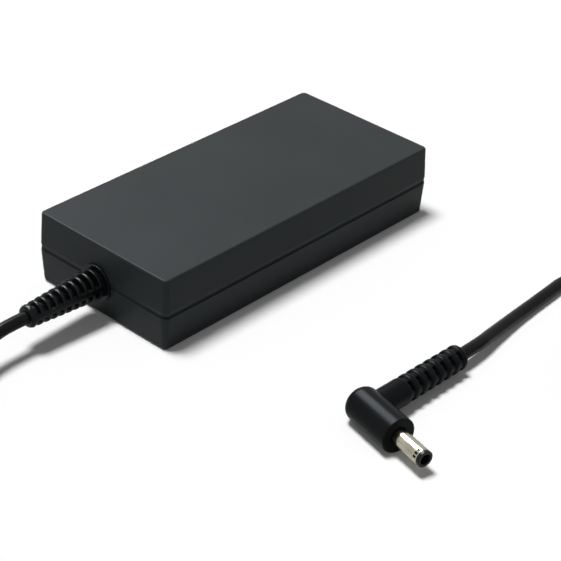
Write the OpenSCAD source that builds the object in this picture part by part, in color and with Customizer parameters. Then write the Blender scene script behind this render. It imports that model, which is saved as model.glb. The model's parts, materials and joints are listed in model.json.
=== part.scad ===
// Laptop power adapter: a slim two-shell brick with its mains inlet, its circuit board
// and the output cord, which ends in a right-angle barrel plug.
// The origin is at the middle of the case's underside, with +X towards the mains inlet.

/* [Case] */
// Length of the case
case_l = 140; // [138:1:170]
// Width of the case
case_w = 65.5; // [65.5:0.5:80]
// Height of the case
case_h = 28.4; // [28.4:0.2:34]
// Height of the joint between the shells
joint_z = 13.4; // [13:0.1:14]
// Wall of both shells
wall = 2; // [1.8:0.1:2.2]
// Radius of the upright corners
corner_r = 2.6; // [2.4:0.1:4]
// Radius of the rounded top and bottom edges
edge_r = 1.3; // [1:0.1:1.6]
// How far the top face draws in from the joint
top_draft = 0.6; // [0.3:0.1:0.8]
// How far the underside draws in from the joint
bottom_draft = 0.8; // [0.4:0.1:1]
// Width of the groove between the shells
groove_w = 0.5; // [0.3:0.1:0.7]
// Height of the sunk band above the groove
band_h = 1.1; // [0.8:0.1:1.6]
// Depth of the sunk band
band_depth = 0.35; // [0.2:0.05:0.5]
// Height of the lip that locates the upper shell
lip_h = 2.4; // [2.2:0.1:2.8]
// Thickness of the lip
lip_t = 0.8; // [0.6:0.05:0.9]
// Clearance round the lip
lip_gap = 0.1; // [0.05:0.05:0.15]

/* [Mains inlet] */
// Width of the inlet's shroud
inlet_w = 28; // [27.5:0.1:29]
// Free height above and below the inlet's collar
inlet_margin = 1; // [0.8:0.1:1.2]
// Thickness of the shroud above and below the socket
shroud_t = 1.9; // [1.7:0.1:2]
// Depth of the inlet's body
inlet_depth = 19; // [18:0.5:19.5]
// Width of the socket
socket_w = 24; // [23.6:0.1:24.4]
// Depth of the socket
socket_depth = 15.5; // [15:0.1:16]
// Cut across each upper corner of the socket
socket_chamfer = 4; // [3.5:0.1:4.2]
// How far the inlet's middle lies under the case's middle
inlet_drop = 0.6; // [0.4:0.1:0.8]
// Clearance between the inlet and the shells
inlet_gap = 0.2; // [0.1:0.05:0.3]
// Width of the collar that holds the inlet behind the wall
collar_rim = 1.2; // [1:0.1:1.4]
// Thickness of that collar
collar_t = 2; // [1.6:0.1:2.4]
// Thickness of a contact blade
blade_t = 2; // [1.8:0.1:2.2]
// Width of a contact blade
blade_w = 4; // [3.8:0.1:4.2]
// Distance between the live and neutral blades
blade_pitch = 14; // [13.6:0.1:14.4]
// Height of the earth blade above the other two
earth_rise = 4; // [3.8:0.1:4.2]
// Length of a blade inside the socket
blade_out = 12.5; // [12:0.1:13]
// Length of a blade's solder tail
tail_l = 4; // [3:0.1:4.5]

/* [Output cord] */
// Diameter of the cord
cord_d = 4.8; // [4.4:0.1:5]
// Place of the cord's exit across the case
cord_y = 1.5; // [0:0.5:3]
// Radius of the strain relief at the case
relief_r = 5.9; // [5.7:0.1:6.3]
// Radius of the strain relief at its tip
relief_tip_r = 3.95; // [3.8:0.05:4.3]
// Length of the strain relief outside the case
relief_l = 32.5; // [31:0.5:36]
// Radius of the neck that passes through the wall
relief_neck_r = 5.1; // [4.8:0.1:5.3]
// Radius of the flange inside the case
relief_flange_r = 7.5; // [7:0.1:8]
// Thickness of the flange inside the case
relief_flange_t = 2; // [1.6:0.1:2.4]
// Width of the gap between the case and the relief's shoulder
shoulder_gap = 2.3; // [2:0.1:2.5]
// Radius of the thin outer flange that lies on the wall
relief_lip_r = 7.1; // [6.8:0.1:7.3]
// Thickness of the outer flange
relief_lip_t = 0.9; // [0.7:0.1:1]
// Distance from one slot to the next
slot_pitch = 3.15; // [3:0.05:3.3]
// Width of a slot
slot_w = 1.85; // [1.6:0.05:2]
// Radius of the solid core under the slots
slot_core_r = 3; // [2.8:0.05:3.2]
// Height of the spine between the slots
spine_h = 3.4; // [3:0.1:4]
// Radius of one insulated lead inside the case
lead_r = 1.1; // [0.9:0.05:1.2]

/* [Plug] */
// Radius of the plug's head
head_r = 6.4; // [6:0.1:6.8]
// Length of the head's straight part
head_l = 19.6; // [18.8:0.1:20.4]
// Height of the rounded cap behind the head
cap_h = 3.6; // [3:0.1:4.5]
// Radius of the cap's flat middle
cap_flat_r = 2.6; // [2:0.1:2.8]
// Distance from the head's front face to the neck's axis
neck_back = 15.9; // [15.5:0.1:16.3]
// Radius of the neck
neck_r = 4.85; // [4.6:0.05:5]
// Radius of the last rib on the neck
neck_tip_r = 4.6; // [4.4:0.05:4.8]
// Angle between the barrel and the neck
neck_angle = 103; // [90:1:105]
// Angle at which the neck sinks towards the ground
neck_droop = 1; // [0:0.1:1.5]
// Length from the head's axis to the first groove
neck_plain = 16; // [15.4:0.1:16.6]
// Distance from one rib to the next
rib_pitch = 4.25; // [4:0.05:4.4]
// Width of the groove between two ribs
rib_groove = 1.4; // [1.2:0.05:1.6]
// Depth of the groove between two ribs
rib_groove_depth = 0.9; // [0.7:0.05:1.1]
// Radius of the solid core under the deep slots
neck_core_r = 3; // [2.8:0.05:3.2]
// Outer radius of the barrel
barrel_r = 3; // [2.9:0.05:3.1]
// Wall of the barrel
barrel_wall = 0.3; // [0.25:0.05:0.35]
// Length of the barrel in front of the head, with its nose
barrel_l = 14; // [13:0.1:14.5]
// Length of the insulating nose
nose_l = 1.3; // [1:0.1:1.6]
// Radius of the bore for the socket's pin
bore_r = 1.85; // [1.8:0.05:1.9]
// Wall of the inner contact
contact_wall = 0.25; // [0.2:0.05:0.3]
// Clearance between the plug's inner pieces
plug_gap = 0.05; // [0.02:0.01:0.08]

/* [Circuit board] */
// Thickness of the board
board_t = 1.6; // [1.2:0.1:1.8]
// Free height under the board
board_clear = 3; // [2.6:0.1:3.2]
// Distance between the board's long edges and the insulating sheet
board_side_gap = 0.3; // [0.2:0.05:0.5]
// Thickness of the two metal heat spreaders
spreader_t = 0.8; // [0.6:0.1:0.9]
// Thickness of the two insulating sheets
sheet_t = 0.4; // [0.3:0.05:0.45]
// Radius of the posts that carry the board
post_r = 2.6; // [2.4:0.1:2.8]
// Radius of the pins on those posts
post_pin_r = 1.2; // [1:0.05:1.3]
// Clearance of a pin in the board
post_gap = 0.15; // [0.1:0.05:0.2]
// Thickness of the thermal pads
pad_t = 1.4; // [1:0.1:1.6]
// Layout cells along the board
cells_long = 104; // [104:1:110]
// Layout cells across half the board
cells_wide = 28; // [28:1:30]
// Layout cells from the board's top to the thermal pads
cells_high = 16; // [16:1:17]

/* [Hidden] */
$fn = 48;
slice = 0.01;
cut = 1;
tray_gap = 0.1;
bottom_edge = 0.9;

inner_l = case_l - 2 * wall;
inner_w = case_w - 2 * wall;
upper_z = joint_z + groove_w;
ceiling_z = case_h - wall;
inlet_front = case_l / 2 - bottom_draft;
inlet_back = inlet_front - inlet_depth;
inlet_h = case_h - 2 * (wall + collar_rim + inlet_margin);
inlet_z = case_h / 2 - inlet_drop;
socket_h = inlet_h - 2 * shroud_t;
blade_z = inlet_z - earth_rise / 2;

sheet_z = wall + spreader_t;
board_z = sheet_z + sheet_t + board_clear;
board_top = board_z + board_t;
board_x1 = inlet_back - tail_l - 1.5 * sheet_t;
board_x0 = -inner_l / 2 + bottom_draft + relief_flange_t + relief_neck_r + bottom_edge;
lower_tray_half = inner_w / 2 - bottom_draft - tray_gap;
upper_tray_half = inner_w / 2 - top_draft - tray_gap;
board_y = lower_tray_half - spreader_t - sheet_t - board_side_gap;
upper_sheet_z = ceiling_z - spreader_t - sheet_t;
post_in = post_r + board_t;
post_y = board_y - post_in;
post_places = [for (x = [board_x0 + post_in, board_x1 - post_in], y = [-post_y, post_y]) [x, y]];
spreader_x0 = board_x0 + post_in + post_r + spreader_t;
spreader_x1 = board_x1 - post_in - post_r - spreader_t;
spreader_side_h = board_clear * 2;

// The board's layout is counted in cells, so every piece on it keeps its place as the case changes
cell_x = (board_x1 - board_x0) / cells_long;
cell_y = board_y / cells_wide;
cell_z = (upper_sheet_z - board_top - pad_t) / cells_high;
cell = min(cell_x, cell_y, cell_z);

cord_z = joint_z;
cord_r = cord_d / 2;
flange_front = wall + bottom_draft;
flange_back = flange_front + relief_flange_t;
relief_root = -case_l / 2 - shoulder_gap;
relief_end = -case_l / 2 - relief_l;

plug_x = -54.5;
plug_y = -123.5;
plug_turn = -103.5;
barrel_hole_r = barrel_r + plug_gap;
contact_r = bore_r + contact_wall;
rib_count = 7;
neck_end = neck_plain + rib_count * rib_pitch;

// A flat plate with round corners, l by w
module plate(l, w, r, t) {
    linear_extrude(t) hull() {
        for (x = [-1, 1], y = [-1, 1]) translate([x * (l / 2 - r), y * (w / 2 - r)]) circle(r, $fn = 32);
    }
}

// The four corners of a face whose outer edge is rounded with radius e, at height z
module rounded_face(l, w, r, e, z) {
    for (x = [-1, 1], y = [-1, 1]) translate([x * (l / 2 - r), y * (w / 2 - r), z])
        rotate_extrude($fn = 32) translate([r - e, 0]) circle(e, $fn = 24);
}

// What both shells leave open: the inlet's shroud and the strain relief's neck
module shell_openings() {
    translate([inlet_back - cut, -inlet_w / 2 - inlet_gap, inlet_z - inlet_h / 2 - inlet_gap])
        cube([inlet_depth + 2 * cut + bottom_draft, inlet_w + 2 * inlet_gap, inlet_h + 2 * inlet_gap]);
    translate([-case_l / 2 - cut, cord_y, cord_z]) rotate([0, 90, 0])
        cylinder(h = wall + 2 * cut, r = relief_neck_r);
}

module upper_case() {
    color([0.28, 0.30, 0.31]) difference() {
        union() {
            hull() {
                translate([0, 0, upper_z + band_h]) plate(case_l, case_w, corner_r, slice);
                rounded_face(case_l - 2 * top_draft, case_w - 2 * top_draft, corner_r, edge_r,
                    case_h - edge_r);
            }
            translate([0, 0, upper_z])
                plate(case_l - 2 * band_depth, case_w - 2 * band_depth, corner_r - band_depth,
                    band_h + slice);
        }
        hull() {
            translate([0, 0, upper_z - slice]) plate(inner_l, inner_w, corner_r / 2, slice);
            translate([0, 0, ceiling_z - slice])
                plate(inner_l - 2 * top_draft, inner_w - 2 * top_draft, corner_r / 2, slice);
        }
        translate([0, 0, upper_z - slice])
            plate(inner_l + 2 * (lip_t + lip_gap), inner_w + 2 * (lip_t + lip_gap), corner_r / 2,
                lip_h - groove_w + lip_gap + slice);
        shell_openings();
    }
}

module lower_case() {
    color([0.27, 0.29, 0.30]) {
        difference() {
            union() {
                hull() {
                    translate([0, 0, joint_z - slice]) plate(case_l, case_w, corner_r, slice);
                    rounded_face(case_l - 2 * bottom_draft, case_w - 2 * bottom_draft, corner_r, edge_r,
                        edge_r);
                }
                translate([0, 0, joint_z - slice])
                    plate(inner_l + 2 * lip_t, inner_w + 2 * lip_t, corner_r / 2, lip_h + slice);
            }
            hull() {
                translate([0, 0, joint_z + lip_h]) plate(inner_l, inner_w, corner_r / 2, slice);
                translate([0, 0, joint_z]) plate(inner_l, inner_w, corner_r / 2, slice);
                translate([0, 0, wall])
                    plate(inner_l - 2 * bottom_draft, inner_w - 2 * bottom_draft, corner_r / 2, slice);
            }
            shell_openings();
        }
        for (p = post_places) translate([p[0], p[1], wall - slice]) {
            cylinder(h = board_z - wall + slice, r = post_r);
            cylinder(h = board_top - wall + slice, r = post_pin_r);
        }
    }
}

module inlet_housing() {
    color([0.10, 0.10, 0.11]) difference() {
        union() {
            translate([inlet_back, -inlet_w / 2, inlet_z - inlet_h / 2])
                cube([inlet_depth, inlet_w, inlet_h]);
            translate([case_l / 2 - wall - bottom_draft - inlet_gap - collar_t,
                -inlet_w / 2 - collar_rim, inlet_z - inlet_h / 2 - collar_rim])
                cube([collar_t, inlet_w + 2 * collar_rim, inlet_h + 2 * collar_rim]);
        }
        translate([inlet_front - socket_depth, 0, inlet_z]) rotate([90, 0, 90])
            linear_extrude(socket_depth + cut) socket_outline();
        blade_places() translate([-inlet_depth, 0, 0]) blade(inlet_depth + cut);
    }
}

// The socket's outline, with its two upper corners cut
module socket_outline() {
    w = socket_w / 2;
    h = socket_h / 2;
    polygon([[-w, -h], [w, -h], [w, h - socket_chamfer], [w - socket_chamfer, h],
        [socket_chamfer - w, h], [-w, h - socket_chamfer]]);
}

// The three blades' places, each at the floor of the socket
module blade_places() {
    for (p = [[-blade_pitch / 2, blade_z], [blade_pitch / 2, blade_z], [0, blade_z + earth_rise]])
        translate([inlet_front - socket_depth, p[0], p[1]]) children();
}

module blade(l) {
    translate([0, -blade_t / 2, -blade_w / 2]) cube([l, blade_t, blade_w]);
}

module inlet_blades() {
    back = inlet_depth - socket_depth + tail_l;
    color([0.80, 0.78, 0.70]) blade_places() translate([-back, 0, 0]) blade(back + blade_out);
}

module circuit_board() {
    color([0.10, 0.36, 0.20]) difference() {
        translate([board_x0, -board_y, board_z]) cube([board_x1 - board_x0, 2 * board_y, board_t]);
        for (p = post_places) translate([p[0], p[1], board_z - cut])
            cylinder(h = board_t + 2 * cut, r = post_pin_r + post_gap);
    }
}

// A tray of sheet metal or film with two upright sides; half_w is half its outer width
module tray(half_w, t, side_h) {
    translate([spreader_x0, -half_w, 0]) cube([spreader_x1 - spreader_x0, 2 * half_w, t]);
    for (s = [-1, 1]) translate([spreader_x0, s > 0 ? half_w - t : -half_w, 0])
        cube([spreader_x1 - spreader_x0, t, side_h]);
}

module lower_heat_spreader() {
    color([0.75, 0.76, 0.78]) translate([0, 0, wall]) tray(lower_tray_half, spreader_t, spreader_side_h);
}

module lower_insulating_sheet() {
    color([0.85, 0.82, 0.62]) translate([0, 0, sheet_z])
        tray(lower_tray_half - spreader_t, sheet_t, spreader_side_h);
}

module upper_heat_spreader() {
    color([0.75, 0.76, 0.78]) translate([0, 0, ceiling_z]) mirror([0, 0, 1])
        tray(upper_tray_half, spreader_t, spreader_side_h);
}

module upper_insulating_sheet() {
    color([0.85, 0.82, 0.62]) translate([0, 0, ceiling_z - spreader_t]) mirror([0, 0, 1])
        tray(upper_tray_half - spreader_t, sheet_t, spreader_side_h);
}

module thermal_pads() {
    color([0.55, 0.60, 0.72]) {
        pad(24, 24.9, [54, 2.5]);
        pad(24.4, -23.6, [26, 16]);
    }
}

// A pad from the pieces below it up to the upper sheet; its place and size are in cells
module pad(x, y, size) {
    translate([board_x0 + x * cell_x, y * cell_y, board_top + cells_high * cell_z])
        cube([size[0] * cell_x, size[1] * cell_y, pad_t]);
}

// A box that stands on the board; its corner and size are in cells
module on_board(x, y, size) {
    translate([board_x0 + x * cell_x, y * cell_y, board_top])
        cube([size[0] * cell_x, size[1] * cell_y, size[2] * cell_z]);
}

// A place on the board, in cells; the height is in round cells, so round pieces stay round
module at_board(x, y, z) {
    translate([board_x0 + x * cell_x, y * cell_y, board_top + z * cell]) children();
}

// A ring or disc about Z, in round cells
module ring(h, r, hole) {
    difference() {
        cylinder(h = h * cell, r = r * cell);
        translate([0, 0, -cut]) cylinder(h = h * cell + 2 * cut, r = hole * cell);
    }
}

// A disc that stands upright on the board, with its faces across Y and a foot under it
module disc_on_board(x, y, d, t) {
    at_board(x, y, d / 2) rotate([-90, 0, 0]) cylinder(h = t * cell, d = d * cell);
    at_board(x, y, 0) translate([-d / 4, t / 4, 0] * cell) cube([d / 2, t / 2, d / 4] * cell);
}

module fuse() {
    color([0.30, 0.18, 0.12]) on_board(94.6, -15.2, [8.4, 4, 8]);
}

module varistor() {
    color([0.20, 0.35, 0.62]) disc_on_board(90, 15.2, 10, 4);
}

module thermistor() {
    color([0.15, 0.16, 0.15]) disc_on_board(82.8, 21.1, 9, 4);
}

module x_capacitor() {
    color([0.86, 0.74, 0.30]) on_board(79, -26.5, [17, 8.5, 14]);
}

module y_capacitors() {
    color([0.22, 0.42, 0.70]) for (x = [91.5, 99]) disc_on_board(x, 21.5, 7, 3.4);
}

module mains_choke_core() {
    color([0.20, 0.45, 0.28]) at_board(91, -1, 1.2) ring(9, 9, 4.5);
}

// Two windings on the ring, each a row of flat turns round its section
module mains_choke_windings() {
    color([0.72, 0.40, 0.20]) at_board(91, -1, 5.7) for (side = [0, 180], i = [-2.5:2.5])
        rotate([0, 0, side + i * 20]) translate([6.75 * cell, 0, 0]) difference() {
            cube([6.5, 0.9, 11] * cell, center = true);
            cube([4.7, 2, 9.2] * cell, center = true);
        }
}

module bridge_rectifier() {
    color([0.13, 0.13, 0.14]) on_board(60, 22.3, [17, 3.6, 14]);
}

module boost_inductor_core() {
    color([0.22, 0.22, 0.24]) {
        for (z = [0, 11.5]) translate([0, 0, z * cell_z]) on_board(56, -27, [22, 22, 3.5]);
        for (y = [-27, -8.5]) on_board(56, y, [22, 3.5, 15]);
        at_board(67, -16, 0) cylinder(h = 13 * cell_z, r = 4 * cell);
    }
}

module boost_inductor_winding() {
    color([0.78, 0.45, 0.22]) translate([0, 0, 3.6 * cell_z]) at_board(67, -16, 0) difference() {
        cylinder(h = 7.8 * cell_z, r = 7.1 * cell);
        translate([0, 0, -cut]) cylinder(h = 7.8 * cell_z + 2 * cut, r = 4.2 * cell);
    }
}

module bulk_capacitor() {
    color([0.16, 0.17, 0.22]) at_board(47, 8.8, 8) rotate([0, 90, 0])
        cylinder(h = 31 * cell_x, r = 7.95 * cell);
}

module switching_transistors() {
    color([0.12, 0.12, 0.13]) for (x = [25, 36.5, 48]) on_board(x, 21.5, [10, 4.4, 14]);
}

module primary_heat_sink() {
    color([0.78, 0.79, 0.80]) on_board(24, 25.9, [54, 1.5, cells_high]);
}

module transformer_core() {
    color([0.20, 0.20, 0.22]) {
        for (x = [22.4, 48.4]) on_board(x, -25.6, [4, 20, cells_high]);
        for (z = [0, 12]) translate([0, 0, z * cell_z]) on_board(22.4, -25.6, [30, 20, 4]);
        at_board(37.4, -15.6, 0) cylinder(h = (cells_high - 1) * cell_z, r = 4.5 * cell);
    }
}

module transformer_bobbin() {
    color([0.14, 0.14, 0.16]) translate([0, 0, 4.1 * cell_z]) at_board(37.4, -15.6, 0) difference() {
        union() {
            cylinder(h = 7.8 * cell_z, r = 5.4 * cell);
            for (z = [0, 6.8]) translate([0, 0, z * cell_z]) cylinder(h = cell_z, r = 10.7 * cell);
        }
        translate([0, 0, -cut]) cylinder(h = 7.8 * cell_z + 2 * cut, r = 4.6 * cell);
    }
}

module transformer_winding() {
    color([0.90, 0.80, 0.25]) translate([0, 0, 5.2 * cell_z]) at_board(37.4, -15.6, 0) difference() {
        cylinder(h = 5.6 * cell_z, r = 10 * cell);
        translate([0, 0, -cut]) cylinder(h = 5.6 * cell_z + 2 * cut, r = 5.5 * cell);
    }
}

module resonant_capacitor() {
    color([0.60, 0.16, 0.14]) on_board(24.4, -3.8, [13, 5, 11]);
}

module optocoupler() {
    color([0.88, 0.88, 0.86]) on_board(25.4, 12, [6.5, 4.6, 3.5]);
}

module control_chip() {
    color([0.10, 0.10, 0.11]) on_board(34.5, 12, [8, 5, 1.6]);
}

module output_rectifiers() {
    color([0.12, 0.12, 0.13]) for (y = [-25.6, -14.6]) on_board(12.6, y, [4.4, 10, 14]);
}

module secondary_heat_sink() {
    color([0.78, 0.79, 0.80]) on_board(17, -26.6, [1.5, 23, cells_high]);
}

module output_capacitors() {
    color([0.13, 0.22, 0.20]) for (y = [-16.6, -7.6, 16.2]) at_board(5.4, y, 0)
        cylinder(h = 15 * cell_z, r = 4 * cell);
}

module output_inductor() {
    color([0.76, 0.42, 0.20]) at_board(16, 8.2, 4.5) rotate([-90, 0, 0])
        cylinder(h = 15 * cell, r = 4.4 * cell);
}

// Two insulated leads from the strain relief down to the board
module output_leads() {
    bend_r = 2.7 * lead_r;
    start = -case_l / 2 + flange_back;
    run = board_x0 + 3 * cell_x - start - bend_r;
    drop = cord_z - bend_r - board_top;
    color([0.75, 0.12, 0.10]) for (s = [-1, 1]) translate([start, cord_y + s * 1.8 * lead_r, cord_z]) {
        rotate([0, 90, 0]) cylinder(h = run, r = lead_r, $fn = 24);
        translate([run, 0, -bend_r]) rotate([90, 0, 0]) rotate_extrude(angle = 90, $fn = 48)
            translate([bend_r, 0]) circle(lead_r, $fn = 24);
        translate([run + bend_r, 0, board_top - cord_z]) cylinder(h = drop, r = lead_r, $fn = 24);
    }
}

// One deep slot in a round piece along X: all beyond its spine on one side, down to its core
module slot(x, w, side, core_r, spine) {
    big = 20;
    translate([x - w / 2, 0, 0]) difference() {
        translate([0, -big / 2, side > 0 ? spine / 2 : -spine / 2 - big]) cube([w, big, big]);
        translate([-cut, 0, 0]) rotate([0, 90, 0]) cylinder(h = w + 2 * cut, r = core_r);
    }
}

// The strain relief, drawn along +X from the wall and turned to leave the case along -X
module cord_strain_relief() {
    slots = 9;
    first = shoulder_gap + 1.85;
    color([0.09, 0.10, 0.10]) translate([-case_l / 2, cord_y, cord_z]) rotate([0, 0, 180]) difference() {
        rotate([0, 90, 0]) rotate_extrude() polygon([[0, -flange_back], [relief_flange_r, -flange_back],
            [relief_flange_r, -flange_front], [relief_neck_r - lip_gap, -flange_front],
            [relief_neck_r - lip_gap, lip_gap], [relief_lip_r, lip_gap],
            [relief_lip_r, lip_gap + relief_lip_t], [relief_neck_r - lip_gap, lip_gap + relief_lip_t],
            [relief_neck_r - lip_gap, shoulder_gap], [relief_r, shoulder_gap],
            [relief_tip_r + 0.15, relief_l - 1], [relief_tip_r - 0.45, relief_l], [0, relief_l]]);
        for (i = [0:slots - 1]) {
            slot(first + i * slot_pitch, slot_w, 1, slot_core_r, spine_h);
            slot(first + (i + 0.2) * slot_pitch, slot_w, -1, slot_core_r, spine_h);
        }
    }
}

// A round tube swept along the points of a path, with flat ends square to it
module tube(path, r, sides) {
    n = len(path);
    rings = [for (i = [0:n - 1])
        let (t = i == 0 ? path[1] - path[0] : i == n - 1 ? path[i] - path[i - 1] : path[i + 1] - path[i - 1],
            d = t / norm(t), s = unit(cross(d, [0, 0, 1])), u = cross(s, d))
        for (k = [0:sides - 1]) path[i] + r * (cos(k * 360 / sides) * s + sin(k * 360 / sides) * u)];
    walls = [for (i = [0:n - 2], k = [0:sides - 1]) let (a = i * sides + k, b = i * sides + (k + 1) % sides)
        each [[a, a + sides, b], [b, a + sides, b + sides]]];
    front = [for (k = [0:sides - 1]) k];
    back = [for (k = [0:sides - 1]) n * sides - 1 - k];
    polyhedron(rings, concat(walls, [front], [back]));
}

function unit(v) = v / norm(v);

// A smooth curve through the points p, with t counting from point to point
function curve(p, t) = let (n = len(p) - 1, i = min(floor(t), n - 1), u = t - i,
    a = p[max(i - 1, 0)], b = p[i], c = p[i + 1], d = p[min(i + 2, n)])
    (2 * b + (c - a) * u + (2 * a - 5 * b + 4 * c - d) * u * u + (3 * b - a - 3 * c + d) * u * u * u) / 2;

function sampled(p, count) = [for (k = [0:count]) curve(p, k * (len(p) - 1) / count)];

// Where the plug's neck ends, and the way the neck points
neck_turn = plug_turn + neck_angle;
neck_dir = [cos(neck_droop) * cos(neck_turn), cos(neck_droop) * sin(neck_turn), -sin(neck_droop)];
neck_root = [plug_x - neck_back * cos(plug_turn), plug_y - neck_back * sin(plug_turn), head_r];
neck_tip = neck_root + neck_end * neck_dir;

// The cord from the strain relief to the coil; the third number is the lift above the ground,
// as a share of the relief's own height in the first list and in millimetres in the second
near_drop = [[-102.5, 1.5, 1], [-108, 1.5, 1], [-114, 1.3, 0.98], [-121, 0.2, 0.89], [-129, -3, 0.68],
    [-137, -8, 0.4], [-145, -15, 0.164], [-153, -24, 0.036], [-161, -35, 0]];
near_flat = [[-169, -47, 0], [-177, -59, 0], [-184, -71, 0], [-187, -83, 0], [-184, -95, 0], [-176, -105, 0],
    [-166, -115, 0], [-156, -125, 0], [-145, -136, 0], [-134, -147, 0], [-123, -158, 0], [-112, -169, 0],
    [-101, -180, 0], [-90, -190, 0], [-77, -197, 0], [-63, -199.6, 0], [-49, -199.6, 0], [-35, -199.6, 0],
    [-21, -199.6, 0], [-7, -199.6, 0.1], [7, -199.6, 0.4], [21, -199.6, 0.8]];
coil_lift = 0.9;
coil_gap = 0.56;
coil_pitch = cord_d + coil_gap;
coil_x = 42;
coil_y = -164;
coil_r = 35.6;
coil_turns = 5.25;
coil_steps = 24;
coil_z = cord_r + coil_lift;
coil_start = [coil_x, coil_y - coil_r, coil_z];
coil_end = [coil_x + coil_r, coil_y, coil_z + coil_pitch];
shift_x = -case_l / 2 - relief_l + 102.5;
shift_y = cord_y - 1.5;
near_drop_pts = [for (p = near_drop) [p[0], p[1], cord_r + p[2] * (cord_z - cord_r)]];
near_flat_pts = [for (p = near_flat) [p[0], p[1], cord_r + p[2]]];
near_all = concat(near_drop_pts, near_flat_pts);
near_fade = [for (i = [0:len(near_all) - 1])
    near_all[i] + max(0, 1 - max(0, i - 4) / 20) * [shift_x, shift_y, 0]];
near_route = concat(near_fade, [coil_start - [cord_d, 0, 0]]);
far_pts = [[77.9, -150, 5.3], [79.6, -141, 3.4], [82, -132, 1.4], [84, -123, 0.3], [82.5, -115.3, 0],
    [78.1, -108.9, 0], [71.7, -104.5, 0], [64, -103, 0], [54, -103.4, 0], [44, -104, 0], [34, -104.7, 0.3],
    [24, -105.8, 1], [15, -107, 1.9], [8, -108, 2.6]];
far_route = concat([coil_end + [0, cord_d, 0]], [for (p = far_pts) [p[0], p[1], cord_r + p[2]]],
    [neck_tip + cord_d * neck_dir, neck_tip]);

// The coil spirals inwards in its lower layer and outwards in its upper one
function coil_at(t) = let (h = coil_turns / 2, w = 0.25, d = abs(t - h), k = min(t, coil_turns - t),
    fall = d < w ? h - w + (w * w - d * d) / (2 * w) : k, f = min(1, max(0, (t - h + w) / (2 * w))),
    r = coil_r - coil_pitch * fall)
    [coil_x + r * sin(360 * t), coil_y - r * cos(360 * t), coil_z + coil_pitch * (1 - cos(180 * f)) / 2];
coil_count = ceil(coil_turns * coil_steps);
coil_turn_pts = [for (i = [0:coil_count]) coil_at(i * coil_turns / coil_count)];
coil_route = concat([coil_start - [cord_d, 0, 0]], coil_turn_pts, [coil_end + [0, cord_d, 0]]);
coil_clear = min([for (i = [0:coil_count], j = [i + coil_steps / 2:1:coil_count])
    norm(coil_turn_pts[i] - coil_turn_pts[j])]) - cord_d;
echo(coil_clearance = coil_clear);

module output_cord_near() {
    color([0.11, 0.11, 0.12]) tube(sampled(near_route, 52), cord_r, 10);
}

module cord_coil() {
    color([0.11, 0.11, 0.12]) tube(coil_route, cord_r, 6);
}

module output_cord_far() {
    color([0.11, 0.11, 0.12]) tube(sampled(far_route, 28), cord_r, 10);
}

// A flat strap round the bundle, on the side of the coil towards the case
module coil_tie() {
    gap = 0.3;
    strap_t = 0.5;
    strap_w = 4;
    r0 = coil_r - coil_pitch * (floor(coil_turns / 2) + 0.5) - cord_r - gap;
    r1 = coil_r - coil_pitch / 2 + cord_r + gap;
    z0 = coil_lift - gap;
    z1 = coil_z + coil_pitch + cord_r + gap;
    color([0.15, 0.15, 0.16]) translate([coil_x - strap_w / 2, coil_y, 0]) difference() {
        translate([0, r0 - strap_t, z0 - strap_t])
            cube([strap_w, r1 - r0 + 2 * strap_t, z1 - z0 + 2 * strap_t]);
        translate([-cut, r0, z0]) cube([strap_w + 2 * cut, r1 - r0, z1 - z0]);
    }
}

// The plug's own place: +X along the barrel, from the head's front face
module plug_place() {
    translate([plug_x, plug_y, head_r]) rotate([0, 0, plug_turn]) children();
}

plug_wall = 1.5;
flange_t = 1;
head_edge = 0.5;
root_r = barrel_r + 1.15;
root_taper = 0.15;
root_back = 10;

module plug_moulding() {
    color([0.10, 0.11, 0.12]) plug_place() difference() {
        union() {
            rotate([0, 90, 0]) rotate_extrude() polygon(concat([[0, 0], [0, -head_l - cap_h]],
                [for (a = [0:10:90]) [cap_flat_r + (head_r - cap_flat_r) * sin(a), -head_l - cap_h * cos(a)]],
                [[head_r, -head_edge], [head_r - head_edge, 0]]));
            translate([-neck_back, 0, 0]) rotate([0, neck_droop, neck_angle]) neck();
        }
        rotate([0, -90, 0]) translate([0, 0, -cut]) cylinder(h = plug_wall + 2 * cut, r = barrel_hole_r);
        rotate([0, -90, 0]) translate([0, 0, plug_wall])
            cylinder(h = root_back + plug_gap - plug_wall, r = root_r + plug_gap);
    }
}

// The ribbed neck, drawn along +X from the head's axis
module neck() {
    difference() {
        rotate([0, 90, 0]) cylinder(h = neck_end, r1 = neck_r, r2 = neck_tip_r);
        for (i = [0:rib_count - 1]) {
            x = neck_plain + (i + 0.3) * rib_pitch;
            translate([x - rib_groove / 2, 0, 0]) rotate([0, 90, 0]) difference() {
                cylinder(h = rib_groove, r = neck_r + cut);
                translate([0, 0, -cut]) cylinder(h = rib_groove + 2 * cut, r = neck_tip_r - rib_groove_depth);
            }
            rotate([i % 2 == 0 ? 0 : 90, 0, 0]) for (side = [-1, 1])
                slot(x, rib_groove, side, neck_core_r, spine_h);
        }
    }
}

// The sleeve: its root inside the head narrows a little, down to the flange that holds it
module plug_barrel() {
    slot_l = 0.9;
    slot_w = 0.6;
    root = plug_wall + plug_gap;
    bore = barrel_r - barrel_wall;
    color([0.80, 0.77, 0.68]) plug_place() rotate([0, 90, 0]) difference() {
        union() {
            translate([0, 0, -root - flange_t]) cylinder(h = flange_t, r = root_r);
            translate([0, 0, -root]) cylinder(h = root, r1 = barrel_r - root_taper, r2 = barrel_r);
            cylinder(h = barrel_l - nose_l, r = barrel_r);
        }
        translate([0, 0, -root - flange_t - cut]) cylinder(h = barrel_l + root + flange_t, r = bore);
        for (a = [22, 47, 72]) rotate([0, 0, 180 + a])
            translate([bore - barrel_wall, -slot_w / 2, barrel_l - nose_l - 0.3 - slot_l])
                cube([3 * barrel_wall, slot_w, slot_l]);
    }
}

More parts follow.
